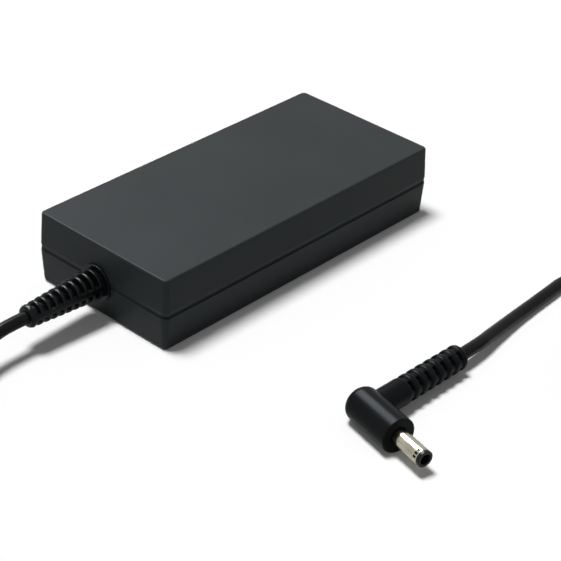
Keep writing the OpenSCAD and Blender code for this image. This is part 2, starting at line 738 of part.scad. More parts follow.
module plug_insulator() {
    back = root_back - plug_wall - flange_t - 2 * plug_gap;
    front_r = barrel_r - barrel_wall - plug_gap;
    color([0.07, 0.07, 0.08]) plug_place() rotate([0, 90, 0]) difference() {
        union() {
            translate([0, 0, -root_back]) cylinder(h = back, r = root_r);
            translate([0, 0, -root_back]) cylinder(h = root_back + barrel_l - nose_l / 2, r = front_r);
            translate([0, 0, barrel_l - nose_l + plug_gap]) cylinder(h = nose_l - plug_gap, r = barrel_r);
        }
        translate([0, 0, -root_back - cut]) cylinder(h = root_back + barrel_l + 2 * cut, r = bore_r);
        translate([0, 0, -root_back - cut])
            cylinder(h = root_back + barrel_l - nose_l + cut, r = contact_r + plug_gap);
    }
}

// The inner contact, split lengthways so that it grips the socket's pin
module plug_contact() {
    slit = 0.4;
    color([0.80, 0.77, 0.68]) plug_place() rotate([0, 90, 0]) difference() {
        translate([0, 0, -root_back]) cylinder(h = root_back + barrel_l - nose_l - plug_gap, r = contact_r);
        translate([0, 0, -root_back - cut]) cylinder(h = root_back + barrel_l + 2 * cut, r = bore_r);
        translate([-contact_r - cut, -slit / 2, 0]) cube([2 * contact_r + 2 * cut, slit, barrel_l]);
    }
}

upper_case();
lower_case();
inlet_housing();
inlet_blades();
circuit_board();
lower_heat_spreader();
upper_heat_spreader();
lower_insulating_sheet();
upper_insulating_sheet();
thermal_pads();
fuse();
varistor();
thermistor();
x_capacitor();
y_capacitors();
mains_choke_core();
mains_choke_windings();
bridge_rectifier();
boost_inductor_core();
boost_inductor_winding();
bulk_capacitor();
switching_transistors();
primary_heat_sink();
transformer_core();
transformer_bobbin();
transformer_winding();
resonant_capacitor();
optocoupler();
control_chip();
output_rectifiers();
secondary_heat_sink();
output_capacitors();
output_inductor();
output_leads();
cord_strain_relief();
output_cord_near();
cord_coil();
coil_tie();
output_cord_far();
plug_moulding();
plug_barrel();
plug_insulator();
plug_contact();
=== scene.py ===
import json
import math
import bmesh
import bpy
from mathutils import Matrix, Vector


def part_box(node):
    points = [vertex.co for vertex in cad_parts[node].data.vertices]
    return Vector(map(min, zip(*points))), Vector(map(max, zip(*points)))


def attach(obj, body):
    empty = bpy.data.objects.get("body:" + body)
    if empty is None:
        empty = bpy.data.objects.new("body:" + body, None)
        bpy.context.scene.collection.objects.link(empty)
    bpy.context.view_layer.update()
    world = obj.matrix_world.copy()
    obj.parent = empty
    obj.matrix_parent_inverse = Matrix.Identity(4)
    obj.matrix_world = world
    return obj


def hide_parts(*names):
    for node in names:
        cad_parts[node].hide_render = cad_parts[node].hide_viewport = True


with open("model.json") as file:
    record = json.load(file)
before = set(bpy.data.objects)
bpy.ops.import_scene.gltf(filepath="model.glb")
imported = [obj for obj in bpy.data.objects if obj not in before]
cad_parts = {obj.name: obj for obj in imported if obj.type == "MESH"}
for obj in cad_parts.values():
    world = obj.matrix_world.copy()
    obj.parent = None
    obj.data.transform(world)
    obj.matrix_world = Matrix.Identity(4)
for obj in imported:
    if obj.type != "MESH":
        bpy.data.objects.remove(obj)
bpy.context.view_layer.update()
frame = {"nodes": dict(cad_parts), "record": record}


# Camera: a long lens on a tripod, standing off the near left corner of the case and
# looking down on it. Its lens is shifted a little to frame the case and the plug.
tripod_place = (-0.43227, -0.40594, 0.36379)
turn = math.radians(-48.768)
tilt = math.radians(32.370)
lean = math.radians(2.834)
to_camera = Vector((math.sin(turn) * math.cos(tilt), -math.cos(turn) * math.cos(tilt), math.sin(tilt)))
level_right = Vector((math.cos(turn), math.sin(turn), 0.0))
level_up = to_camera.cross(level_right)
lens_right = level_right * math.cos(lean) + level_up * math.sin(lean)
lens_up = level_up * math.cos(lean) - level_right * math.sin(lean)
camera_data = bpy.data.cameras.new("tripod_camera")
camera_data.lens = 118.66
camera_data.sensor_width = 36.0
camera_data.shift_x = -0.02022
camera_data.shift_y = -0.01267
camera_data.clip_start = 0.05
camera_data.clip_end = 20.0
camera = bpy.data.objects.new("tripod_camera", camera_data)
camera_frame = Matrix((lens_right, lens_up, to_camera)).transposed().to_4x4()
camera.matrix_world = Matrix.Translation(tripod_place) @ camera_frame
bpy.context.scene.collection.objects.link(camera)
bpy.context.scene.camera = camera


# Output cord: two cores in one round black vinyl jacket, 4.8 mm thick and 1.5 m long.
# It leaves the strain relief level, sinks to the table, lies in a wound coil and comes
# back to the plug; the jacket is extruded, so its skin is smooth but for a faint grain.
cord_radius = 0.0024
relief_to_coil = [
    (-0.0985, 0.0015, 0.0134), (-0.1025, 0.0015, 0.0134), (-0.108, 0.0015, 0.0134),
    (-0.114, 0.0013, 0.01318), (-0.121, 0.0002, 0.01219), (-0.129, -0.003, 0.00988),
    (-0.137, -0.008, 0.0068), (-0.145, -0.015, 0.0042), (-0.153, -0.024, 0.0028),
    (-0.161, -0.035, 0.0024), (-0.169, -0.047, 0.0024), (-0.177, -0.059, 0.0024),
    (-0.184, -0.071, 0.0024), (-0.187, -0.083, 0.0024), (-0.184, -0.095, 0.0024),
    (-0.176, -0.105, 0.0024), (-0.166, -0.115, 0.0024), (-0.156, -0.125, 0.0024),
    (-0.145, -0.136, 0.0024), (-0.134, -0.147, 0.0024), (-0.123, -0.158, 0.0024),
    (-0.112, -0.169, 0.0024), (-0.101, -0.18, 0.0024), (-0.09, -0.19, 0.0024),
    (-0.077, -0.197, 0.0024), (-0.063, -0.1996, 0.0024), (-0.049, -0.1996, 0.0024),
    (-0.035, -0.1996, 0.0024), (-0.021, -0.1996, 0.0024), (-0.007, -0.1996, 0.0025),
    (0.007, -0.1996, 0.0028), (0.021, -0.1996, 0.0032), (0.0372, -0.1996, 0.0033)]
coil_to_plug = [
    (0.0776, -0.1592, 0.00866), (0.0779, -0.15, 0.0077), (0.0796, -0.141, 0.0058),
    (0.082, -0.132, 0.0038), (0.084, -0.123, 0.0027), (0.0825, -0.1153, 0.0024),
    (0.0781, -0.1089, 0.0024), (0.0717, -0.1045, 0.0024), (0.064, -0.103, 0.0024),
    (0.054, -0.1034, 0.0024), (0.044, -0.104, 0.0024), (0.034, -0.1047, 0.0027),
    (0.024, -0.1058, 0.0034), (0.015, -0.107, 0.0043), (0.008, -0.108, 0.005),
    (-0.00023, -0.10845, 0.00552), (-0.00633, -0.1084, 0.00562)]
coil_middle = (0.042, -0.164)
coil_lowest = 0.0033
coil_radius = 0.0356
coil_pitch = 0.00536
coil_turns = 5.25
coil_steps = 252
half_climb = 0.25


def smooth_line(points, steps):
    """A smooth curve through the points, with that many steps from each to the next."""
    line = []
    last = len(points) - 1
    for index in range(last):
        before, here = Vector(points[max(index - 1, 0)]), Vector(points[index])
        there, after = Vector(points[index + 1]), Vector(points[min(index + 2, last)])
        for step in range(steps):
            u = step / steps
            line.append((2 * here + (there - before) * u + (2 * before - 5 * here + 4 * there - after) * u * u
                         + (3 * here - before - 3 * there + after) * u ** 3) / 2)
    return line + [Vector(points[last])]


def coil_point(turns_in):
    """A point of the coil, which winds in along the table and out again on top of itself."""
    half = coil_turns / 2
    from_half = abs(turns_in - half)
    turns_inward = min(turns_in, coil_turns - turns_in)
    if from_half < half_climb:
        turns_inward = half - half_climb + (half_climb ** 2 - from_half ** 2) / (2 * half_climb)
    climbed = min(1.0, max(0.0, (turns_in - half + half_climb) / (2 * half_climb)))
    reach = coil_radius - coil_pitch * turns_inward
    angle = 2 * math.pi * turns_in
    return Vector((coil_middle[0] + reach * math.sin(angle), coil_middle[1] - reach * math.cos(angle),
                   coil_lowest + coil_pitch * (1 - math.cos(math.pi * climbed)) / 2))


coil_line = [coil_point(coil_turns * step / coil_steps) for step in range(coil_steps + 1)]
cord_line = smooth_line(relief_to_coil, 5) + coil_line + smooth_line(coil_to_plug, 6)
cord_curve = bpy.data.curves.new("output_cord", "CURVE")
cord_curve.dimensions = "3D"
cord_curve.bevel_depth = cord_radius
cord_curve.bevel_resolution = 5
cord_curve.use_fill_caps = True
spline = cord_curve.splines.new("POLY")
spline.points.add(len(cord_line) - 1)
for point, place in zip(spline.points, cord_line):
    point.co = (*place, 1.0)
spline.use_smooth = True
output_cord = bpy.data.objects.new("output_cord", cord_curve)
bpy.context.scene.collection.objects.link(output_cord)


def make_moulded_skin():
    """A group of shader nodes for the skin that a mould or a die leaves on plastic: a height for its fine
    pits, and a mask for the broad patches where its shade and gloss differ."""
    group = bpy.data.node_groups.new("moulded_skin", "ShaderNodeTree")
    for grain, per_metre in (("Pits", 2600.0), ("Patches", 45.0)):
        size = group.interface.new_socket(f"{grain} per metre", in_out="INPUT", socket_type="NodeSocketFloat")
        size.default_value = per_metre
        group.interface.new_socket(grain, in_out="OUTPUT", socket_type="NodeSocketFloat")
    sizes_in, grains_out = group.nodes.new("NodeGroupInput"), group.nodes.new("NodeGroupOutput")
    place = group.nodes.new("ShaderNodeTexCoord")
    for grain, detail in (("Pits", 3.0), ("Patches", 4.0)):
        noise = group.nodes.new("ShaderNodeTexNoise")
        noise.inputs["Detail"].default_value = detail
        noise.inputs["Roughness"].default_value = 0.58
        group.links.new(place.outputs["Object"], noise.inputs["Vector"])
        group.links.new(sizes_in.outputs[f"{grain} per metre"], noise.inputs["Scale"])
        group.links.new(noise.outputs["Fac"], grains_out.inputs[grain])
    return group


moulded_skin = make_moulded_skin()


def patchy_finish(name, deep, pale, rough, gloss=0.5, metal=0.0, pits=2600.0, pit_depth=0.00002,
                  patches=45.0):
    """A material in two shades that drift over it, with gloss that drifts too and a pitted skin."""
    patch_low, patch_high = 0.32, 0.68
    material = bpy.data.materials.new(name)
    material.use_nodes = True
    nodes, links = material.node_tree.nodes, material.node_tree.links
    surface = nodes["Principled BSDF"]
    surface.inputs["Specular IOR Level"].default_value = gloss
    surface.inputs["Metallic"].default_value = metal
    skin = nodes.new("ShaderNodeGroup")
    skin.name = "skin"
    skin.node_tree = moulded_skin
    skin.inputs["Pits per metre"].default_value = pits
    skin.inputs["Patches per metre"].default_value = patches
    shades = nodes.new("ShaderNodeValToRGB")
    shades.color_ramp.elements[0].position = patch_low
    shades.color_ramp.elements[0].color = (*deep, 1.0)
    shades.color_ramp.elements[1].position = patch_high
    shades.color_ramp.elements[1].color = (*pale, 1.0)
    spread = nodes.new("ShaderNodeMapRange")
    spread.inputs["From Min"].default_value = patch_low
    spread.inputs["From Max"].default_value = patch_high
    spread.inputs["To Min"].default_value = rough[0]
    spread.inputs["To Max"].default_value = rough[1]
    dents = nodes.new("ShaderNodeBump")
    dents.name = "dents"
    dents.inputs["Distance"].default_value = pit_depth
    links.new(skin.outputs["Patches"], shades.inputs["Fac"])
    links.new(shades.outputs["Color"], surface.inputs["Base Color"])
    links.new(skin.outputs["Patches"], spread.inputs["Value"])
    links.new(spread.outputs["Result"], surface.inputs["Roughness"])
    links.new(skin.outputs["Pits"], dents.inputs["Height"])
    links.new(dents.outputs["Normal"], surface.inputs["Normal"])
    return material


cord_vinyl = patchy_finish(
    "cord_vinyl", deep=(0.0056, 0.0058, 0.0062), pale=(0.0078, 0.0080, 0.0084), rough=(0.22, 0.30),
    gloss=0.06, pits=1500.0, pit_depth=0.00001, patches=60.0)
cord_curve.materials.append(cord_vinyl)
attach(output_cord, "root")
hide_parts("output_cord_near", "cord_coil", "output_cord_far")


# Strain relief: a soft black rubber sleeve moulded round the cord. Slots cut from above
# and below leave a row of thin ribs joined by a spine on each side. Two flanges hold the
# wall of the case between them, and a rounded collar ends the sleeve.
def mm(x, y, z):
    """A place given in millimetres, in Blender's metres."""
    return Vector((x, y, z)) / 1000


def piece_of_rings(name, rings, hollow=False):
    """A skin that runs from ring to ring, closed at both ends, or meeting itself again if it is hollow."""
    shape = bmesh.new()
    rows = [[shape.verts.new(place) for place in ring] for ring in rings]
    count = len(rows[0])
    for row, following in zip(rows, rows[1:] + (rows[:1] if hollow else [])):
        for k in range(count):
            j = (k + 1) % count
            shape.faces.new((row[k], row[j], following[j], following[k]))
    if not hollow:
        shape.faces.new(rows[0][::-1])
        shape.faces.new(rows[-1])
    bmesh.ops.recalc_face_normals(shape, faces=shape.faces)
    mesh = bpy.data.meshes.new(name)
    shape.to_mesh(mesh)
    shape.free()
    piece = bpy.data.objects.new(name, mesh)
    bpy.context.scene.collection.objects.link(piece)
    return piece


def smooth_skin(piece, sharp_above=32):
    """Shades a piece smooth, with its flat faces kept flat and its sharp edges kept sharp."""
    piece.data.shade_smooth()
    piece.data.set_sharp_from_angle(angle=math.radians(sharp_above))
    weigh = piece.modifiers.new("flat_faces_stay_flat", "WEIGHTED_NORMAL")
    weigh.keep_sharp = True
    weigh.weight = 80


def slotted_ring(x, radius, sink=0.0, lower_by=0.0, spines=2, spines_at=90, spine=1.4, all_round=0.0):
    """One ring of a ribbed sleeve, in millimetres along X. It sinks by that much between its spines, down to
    the core round the cord at most, and by all_round everywhere. One spine stands spines_at degrees from
    the top, and lower_by moves the underside along the sleeve."""
    sides, core_radius, spine_edge = 120, 3.0, 0.35
    ring = []
    for k in range(sides):
        angle = 2 * math.pi * k / sides
        up, side = math.cos(angle), math.sin(angle)
        from_spine = radius * 2 / spines * abs(math.sin((angle - math.radians(spines_at)) * spines / 2))
        share = min(1.0, max(0.0, (from_spine - spine) / spine_edge))
        depth = min(sink, radius - core_radius) * share * share * (3 - 2 * share)
        r = radius - max(depth, all_round)
        ring.append(mm(x + lower_by * (1 - up) / 2, r * side, r * up))
    return ring


def both_edges(edge):
    """A slot's profile from that of one edge, given in rows that start with the distance from its middle."""
    return [(-row[0], *row[1:]) for row in reversed(edge)] + list(edge)


case_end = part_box("lower_case")[0].x
relief_place = (Matrix.Translation((case_end, relief_to_coil[0][1], relief_to_coil[0][2]))
                @ Matrix.Rotation(math.pi, 4, "Z"))
inner_flange = ((-4.8, 0.1), (-4.8, 7.2), (-4.6, 7.5), (-3.0, 7.5), (-2.8, 7.3))
waist_in_wall = ((-2.8, 5.0), (0.1, 5.0))
outer_flange = ((0.1, 7.0), (0.14, 7.08), (0.2, 7.1), (0.88, 7.1), (0.97, 7.04), (1.0, 6.95))
shoulder = ((1.0, 5.0), (1.95, 5.0), (2.1, 5.2), (2.25, 5.55), (2.5, 5.8), (2.8, 5.86))
end_collar = ((31.4, 4.1), (31.8, 3.98), (32.15, 3.75), (32.4, 3.4), (32.5, 3.0), (32.5, 0.1))
slots_in_relief = 9
slot_pitch = 3.15
first_slot = 4.15
slot_profile = both_edges(((0.88, 9.0), (0.92, 0.4), (0.98, 0.17), (1.1, 0.05), (1.3, 0.0)))
root_radius = 5.9
root_x = 2.3
taper = 0.0603
relief_start = inner_flange + waist_in_wall + outer_flange + shoulder
relief_rings = [slotted_ring(x, radius) for x, radius in relief_start]
for slot in range(slots_in_relief):
    for step, sink in slot_profile:
        x = first_slot + slot_pitch * slot + step
        relief_rings.append(slotted_ring(x, root_radius - taper * (x - root_x), sink,
                                         lower_by=0.63, spines_at=81, spine=1.1))
relief_rings += [slotted_ring(x, radius) for x, radius in end_collar]
strain_relief = piece_of_rings("strain_relief", [[relief_place @ v for v in ring] for ring in relief_rings])
smooth_skin(strain_relief, sharp_above=50)
strain_relief.data.materials.append(patchy_finish(
    "relief_rubber", deep=(0.0034, 0.0044, 0.0047), pale=(0.0050, 0.0062, 0.0067), rough=(0.20, 0.27),
    gloss=0.11, pits=2200.0, pit_depth=0.00001))
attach(strain_relief, "root")
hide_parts("cord_strain_relief")


# Lower shell: a drafted tray of black moulded plastic with a satin grained skin, rounded
# along its bottom edge. A lip round its rim locates the upper shell, and the two are welded.
case_half_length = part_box("lower_case")[1].x * 1000
case_half_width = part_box("lower_case")[1].y * 1000
corner_radius = 2.6
least_corner_radius = 0.5


def arc(middle, radii, start, end, steps):
    """Points of a round stretch from the start angle to the end angle, in degrees."""
    angles = [math.radians(start + (end - start) * k / steps) for k in range(steps + 1)]
    return [(middle[0] + radii[0] * math.cos(a), middle[1] + radii[1] * math.sin(a)) for a in angles]


def case_loop(inset, z):
    """A rounded rectangle at height z, that much inside the outline of the case, in millimetres."""
    radius = max(corner_radius - inset, least_corner_radius)
    to_x = case_half_length - inset - radius
    to_y = case_half_width - inset - radius
    loop = []
    for quarter, middle in enumerate(((to_x, to_y), (-to_x, to_y), (-to_x, -to_y), (to_x, -to_y))):
        loop += arc(middle, (radius, radius), 90 * quarter, 90 * quarter + 90, 7)
    return [mm(x, y, z) for x, y in loop]


def block(name, low, high):
    """A block between two corners, in millimetres, to cut with or to be shaped further."""
    outline = ((low[0], low[1]), (high[0], low[1]), (high[0], high[1]), (low[0], high[1]))
    return piece_of_rings(name, [[mm(x, y, z) for x, y in outline] for z in (low[2], high[2])])


def cut_away(piece, *cutters):
    """Cuts the shapes of the cutters out of a piece, and throws the cutters away."""
    for cutter in cutters:
        knife = piece.modifiers.new("cut", "BOOLEAN")
        knife.operation = "DIFFERENCE"
        knife.solver = "EXACT"
        knife.object = cutter
    mesh = bpy.data.meshes.new_from_object(piece.evaluated_get(bpy.context.evaluated_depsgraph_get()))
    piece.modifiers.clear()
    piece.data = mesh
    for cutter in cutters:
        bpy.data.objects.remove(cutter)


def open_ends(shell):
    """Cuts the inlet's opening and the strain relief's hole in the two end walls of a shell."""
    inlet_opening = block("inlet_opening", low=(66, -14.2, 3.4), high=(72, 14.2, 23.8))
    hole_radius = 5.1
    hole_middle = (relief_to_coil[0][1] * 1000, relief_to_coil[0][2] * 1000)
    hole_outline = arc(hole_middle, (hole_radius, hole_radius), 0, 354, 59)
    relief_hole = piece_of_rings("relief_hole", [[mm(x, y, z) for y, z in hole_outline] for x in (-72, -66)])
    cut_away(shell, inlet_opening, relief_hole)


tray_floor = [(2.4, 2.0), (2.1, 2.1), (2.0, 2.4)]
locating_lip = [(2.0, 15.8), (1.2, 15.8), (1.2, 13.6)]
round_rim = [(0.5, 13.6), (0.3, 13.56), (0.12, 13.45), (0.03, 13.28), (0.0, 13.05)]
bottom_draft = 0.8
bottom_radius = 1.3
bottom_edge = arc((bottom_draft + bottom_radius, bottom_radius), (bottom_radius, bottom_radius), 180, 270, 6)
lower_profile = tray_floor + locating_lip + round_rim + bottom_edge
lower_shell = piece_of_rings("lower_shell", [case_loop(inset, z) for inset, z in lower_profile])
open_ends(lower_shell)
smooth_skin(lower_shell)
case_plastic = patchy_finish(
    "case_plastic", deep=(0.0225, 0.0264, 0.0274), pale=(0.025, 0.029, 0.030), rough=(0.36, 0.42),
    gloss=0.045, pits=3000.0, pit_depth=0.000014, patches=30.0)
lower_shell.data.materials.append(case_plastic)
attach(lower_shell, "root")
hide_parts("lower_case")


# Upper shell: the same plastic and skin. A low band is sunk into its rim above the joint,
# with a soft step over it, and its top is flat with a tight rounded edge.
shell_ceiling = [(2.4, 26.4), (2.1, 26.3), (2.0, 26.0)]
lip_recess = [(2.0, 15.9), (1.1, 15.9), (1.1, 13.9)]
sunk_band = [(0.42, 13.9), (0.26, 13.94), (0.15, 14.03), (0.12, 14.16), (0.15, 14.3), (0.24, 14.5)]
soft_step = [(0.27, 14.65), (0.25, 14.85), (0.17, 15.2), (0.07, 15.6), (0.02, 16.0)]
case_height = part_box("upper_case")[1].z * 1000
top_draft = 0.6
top_radius = 0.8
top_edge = arc((top_draft + top_radius, case_height - top_radius), (top_radius, top_radius), 180, 90, 6)
upper_profile = shell_ceiling + lip_recess + sunk_band + soft_step + top_edge
upper_shell = piece_of_rings("upper_shell", [case_loop(inset, z) for inset, z in upper_profile])
open_ends(upper_shell)
smooth_skin(upper_shell)
upper_shell.data.materials.append(case_plastic)
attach(upper_shell, "root")
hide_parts("upper_case")


# Mains inlet: a hard black moulded socket with two cut corners, its flange held behind the
# end wall, and three nickel-plated brass blades pressed into its floor, the earth one higher.
def round_edges(piece, width):
    """Rounds a piece's hard edges as its mould or press does, in millimetres."""
    ease = piece.modifiers.new("rounded_edges", "BEVEL")
    ease.width = width / 1000
    ease.segments = 3
    ease.limit_method = "ANGLE"
    ease.angle_limit = math.radians(40)


inlet_low, inlet_high = [corner * 1000 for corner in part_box("inlet_housing")]
inlet_middle = (inlet_low.z + inlet_high.z) / 2
flange_rim = 1.2
shroud_half_width = inlet_high.y - flange_rim
shroud_half_height = inlet_high.z - inlet_middle - flange_rim
flange_back = 65
flange_front = 67
flange_steps = ((inlet_low.x, 0), (flange_back, 0), (flange_back, flange_rim),
                (flange_front, flange_rim), (flange_front, 0), (inlet_high.x, 0))
inlet_body = piece_of_rings("inlet_body", [
    [mm(x, side_y * (shroud_half_width + rim), inlet_middle + side_z * (shroud_half_height + rim))
     for side_y, side_z in ((-1, -1), (1, -1), (1, 1), (-1, 1))] for x, rim in flange_steps])
socket_outline = ((-12, 5.5), (12, 5.5), (12, 17.7), (8, 21.7), (-8, 21.7), (-12, 17.7))
socket_depth = 15.5
cut_away(inlet_body, piece_of_rings("socket_hollow", [
    [mm(x, y, z) for y, z in socket_outline] for x in (inlet_high.x - socket_depth, inlet_high.x + 1)]))
round_edges(inlet_body, width=0.35)
smooth_skin(inlet_body)
inlet_body.data.materials.append(patchy_finish(
    "inlet_plastic", deep=(0.011, 0.011, 0.012), pale=(0.015, 0.015, 0.016), rough=(0.26, 0.34),
    gloss=0.3, pits=1800.0, pit_depth=0.000008))
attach(inlet_body, "root")
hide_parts("inlet_housing")


def join_pieces(first, *others):
    """Makes one piece out of several that are one part."""
    joined = bmesh.new()
    for piece in (first, *others):
        joined.from_mesh(piece.data)
    joined.to_mesh(first.data)
    joined.free()
    for piece in others:
        bpy.data.objects.remove(piece)
    return first


blade_low, blade_high = [corner * 1000 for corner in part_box("inlet_blades")]
blade_thickness = 2
blade_width = 4
blades = []
for name, side_y, foot_z in (("inlet_blades", blade_low.y, blade_low.z),
                             ("neutral_blade", blade_high.y - blade_thickness, blade_low.z),
                             ("earth_blade", -blade_thickness / 2, blade_high.z - blade_width)):
    blades.append(block(name, (blade_low.x, side_y, foot_z),
                        (blade_high.x, side_y + blade_thickness, foot_z + blade_width)))
inlet_blades = join_pieces(*blades)
round_edges(inlet_blades, width=0.5)
smooth_skin(inlet_blades)
nickel = patchy_finish(
    "nickel_plate", deep=(0.30, 0.28, 0.21), pale=(0.42, 0.395, 0.32), rough=(0.12, 0.20),
    metal=1.0, pits=700.0, pit_depth=0.000004, patches=240.0)
inlet_blades.data.materials.append(nickel)
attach(inlet_blades, "root")
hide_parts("inlet_blades")


# Plug moulding: soft black vinyl over the plug's contacts. A round head with a domed cap
# lies along the barrel, and a ribbed neck for the cord leaves its side at 103 degrees.
def turned_rings(profile, place, sides=72):
    """Rings of a turned piece along X, from (x, radius) pairs in millimetres, set in its place."""
    angles = [2 * math.pi * k / sides for k in range(sides)]
    return [[place @ mm(x, radius * math.sin(a), radius * math.cos(a)) for a in angles]
            for x, radius in profile]


plug_mount = next(mount for mount in frame["record"]["mounts"] if mount["name"] == "dc_plug")
barrel_axis = Vector(plug_mount["axis"])
barrel_length = plug_mount["dims"]["length_mm"] / 1000
head_front = Vector(plug_mount["pos_m"]) - barrel_axis * barrel_length / 2
head_place = (Matrix.Translation(head_front)
              @ Matrix.Rotation(math.atan2(barrel_axis.y, barrel_axis.x), 4, "Z"))
sleeve_seat = [(-10.1, 0.05), (-10.1, 4.2), (-1.5, 4.2), (-1.5, 3.05), (-0.35, 3.05)]
mouth = [(-0.05, 3.25), (0, 3.35), (0, 5.85)]
front_edge = arc((-0.5, 5.9), (0.5, 0.5), 15, 90, 5)
domed_cap = arc((-19.6, 2.6), (3.6, 3.8), 90, 180, 10) + [(-23.2, 0.05)]
head_profile = sleeve_seat + mouth + front_edge + domed_cap
plug_head = piece_of_rings("plug_head", turned_rings(head_profile, head_place))
smooth_skin(plug_head)

neck_back = 0.0159
neck_angle = math.radians(103)
neck_droop = math.radians(1)
neck_place = (head_place @ Matrix.Translation((-neck_back, 0, 0))
              @ Matrix.Rotation(neck_angle, 4, "Z") @ Matrix.Rotation(neck_droop, 4, "Y"))
neck_radius = 4.85
neck_taper = 0.0055
rib_grooves = 7
rib_pitch = 4.25
first_groove = 17.275
groove_profile = [(-2.1, 0, 0)] + both_edges((
    (0.75, 1.9, 0.55), (0.82, 0.7, 0.42), (0.95, 0.3, 0.26), (1.15, 0.1, 0.14), (1.5, 0, 0.04)))
last_rib = ((44.9, 4.6), (45.35, 4.5), (45.65, 4.25), (45.75, 3.9), (45.75, 0.1))
neck_rings = [slotted_ring(0, 0.1), slotted_ring(0, neck_radius)]
for groove in range(rib_grooves):
    for step, sink, all_round in groove_profile:
        x = first_groove + rib_pitch * groove + step
        neck_rings.append(slotted_ring(x, neck_radius - neck_taper * x, sink,
                                       spines=4, spines_at=0, spine=1.3, all_round=all_round))
neck_rings += [slotted_ring(x, radius) for x, radius in last_rib]
plug_neck = piece_of_rings("plug_neck", [[neck_place @ v for v in ring] for ring in neck_rings])
smooth_skin(plug_neck, sharp_above=50)
plug_vinyl = patchy_finish(
    "plug_vinyl", deep=(0.0048, 0.0060, 0.0064), pale=(0.0064, 0.0078, 0.0084), rough=(0.28, 0.34),
    gloss=0.035, pits=2200.0, pit_depth=0.000008)
for piece in (plug_head, plug_neck):
    piece.data.materials.append(plug_vinyl)
    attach(piece, "root")
    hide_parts("plug_moulding")


# Plug barrel: a nickel-plated brass sleeve held in the head by its flange, with three short
# slots near its free end that key the black plastic inside it.
sleeve_flange = [(-2.5, 4.1), (-2.45, 4.15), (-1.65, 4.15), (-1.55, 4.05)]
sleeve_outside = [(-1.55, 2.85), (0, 3.0), (12.5, 3.0)]
rolled_end = [(12.6, 2.97), (12.7, 2.87)]
sleeve_inside = [(12.7, 2.7), (-2.5, 2.7)]
plug_barrel = piece_of_rings("plug_barrel", turned_rings(
    sleeve_flange + sleeve_outside + rolled_end + sleeve_inside, head_place, sides=96), hollow=True)
for degrees_from_top in (22, 47, 72):
    barrel_slot = block("barrel_slot", low=(11.1, -0.45, 2.3), high=(12.4, 0.45, 3.6))
    barrel_slot.data.transform(head_place @ Matrix.Rotation(math.radians(degrees_from_top), 4, "X"))
    cut_away(plug_barrel, barrel_slot)
smooth_skin(plug_barrel)
plug_barrel.data.materials.append(nickel)
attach(plug_barrel, "root")
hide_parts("plug_barrel")


# Plug insulator and contact: a tube of hard black plastic inside the sleeve, which ends in
# the nose, and a split nickel-plated spring tube in it that grips the socket's centre pin.
insulator_body = [(-10, 2.15), (-10, 4.05), (-9.9, 4.15), (-2.7, 4.15), (-2.6, 4.05)]
tube_in_sleeve = [(-2.6, 2.65), (12.75, 2.65), (12.75, 2.93)]
nose = [(12.82, 3.0), (13.65, 3.0), (13.84, 2.95), (13.96, 2.82), (14.0, 2.65)]
nose_bore = [(14.0, 2.15), (13.95, 1.98), (13.8, 1.88), (13.6, 1.85), (12.7, 1.85), (12.7, 2.15)]
plug_insulator = piece_of_rings("plug_insulator", turned_rings(
    insulator_body + tube_in_sleeve + nose + nose_bore, head_place), hollow=True)
smooth_skin(plug_insulator)
plug_insulator.data.materials.append(patchy_finish(
    "nose_plastic", deep=(0.005, 0.005, 0.006), pale=(0.008, 0.008, 0.009), rough=(0.22, 0.30),
    gloss=0.15, pits=1800.0, pit_depth=0.000006))
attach(plug_insulator, "root")
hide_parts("plug_insulator")


def finish_node(material, *names):
    """Gives a finish to solids whose shape is right as it is."""
    for name in names:
        for place in frame["nodes"][name].material_slots:
            place.material = material


finish_node(nickel, "plug_contact")


# Coil tie: a strip of black woven hook-and-loop band, 4 mm wide, that goes once round the
# wound cord on the side towards the case.
bend_radius = 2.65
bend_middles = ((-130.78, 8.9), (-142.1, 8.9), (-142.1, 3.0), (-130.78, 3.0))
band_section = ((-2.0, -0.12), (-1.88, -0.25), (1.88, -0.25), (2.0, -0.12),
                (2.0, 0.12), (1.88, 0.25), (-1.88, 0.25), (-2.0, 0.12))
band_rings = []
for corner, (middle_y, middle_z) in enumerate(bend_middles):
    for step in range(0, 91, 15):
        outwards = math.radians(90 * corner + step)
        band_rings.append([mm(coil_middle[0] * 1000 + across,
                              middle_y + (bend_radius + out) * math.cos(outwards),
                              middle_z + (bend_radius + out) * math.sin(outwards))
                           for across, out in band_section])
coil_band = piece_of_rings("coil_band", band_rings, hollow=True)
smooth_skin(coil_band, sharp_above=60)
band_weave = patchy_finish(
    "band_weave", deep=(0.014, 0.014, 0.016), pale=(0.024, 0.024, 0.027), rough=(0.75, 0.9),
    gloss=0.2, pits=3000.0, pit_depth=0.00006, patches=900.0)
weave_nodes, weave_links = band_weave.node_tree.nodes, band_weave.node_tree.links
weave_place = weave_nodes.new("ShaderNodeTexCoord")
weave_rows = weave_nodes.new("ShaderNodeTexWave")
weave_rows.inputs["Scale"].default_value = 420.0
weave_rows.inputs["Distortion"].default_value = 1.5
weave_height = weave_nodes.new("ShaderNodeMath")
weave_height.operation = "ADD"
weave_links.new(weave_place.outputs["Object"], weave_rows.inputs["Vector"])
weave_links.new(weave_rows.outputs["Fac"], weave_height.inputs[0])
weave_links.new(weave_nodes["skin"].outputs["Pits"], weave_height.inputs[1])
weave_links.new(weave_height.outputs["Value"], weave_nodes["dents"].inputs["Height"])
coil_band.data.materials.append(band_weave)
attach(coil_band, "root")
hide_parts("coil_tie")


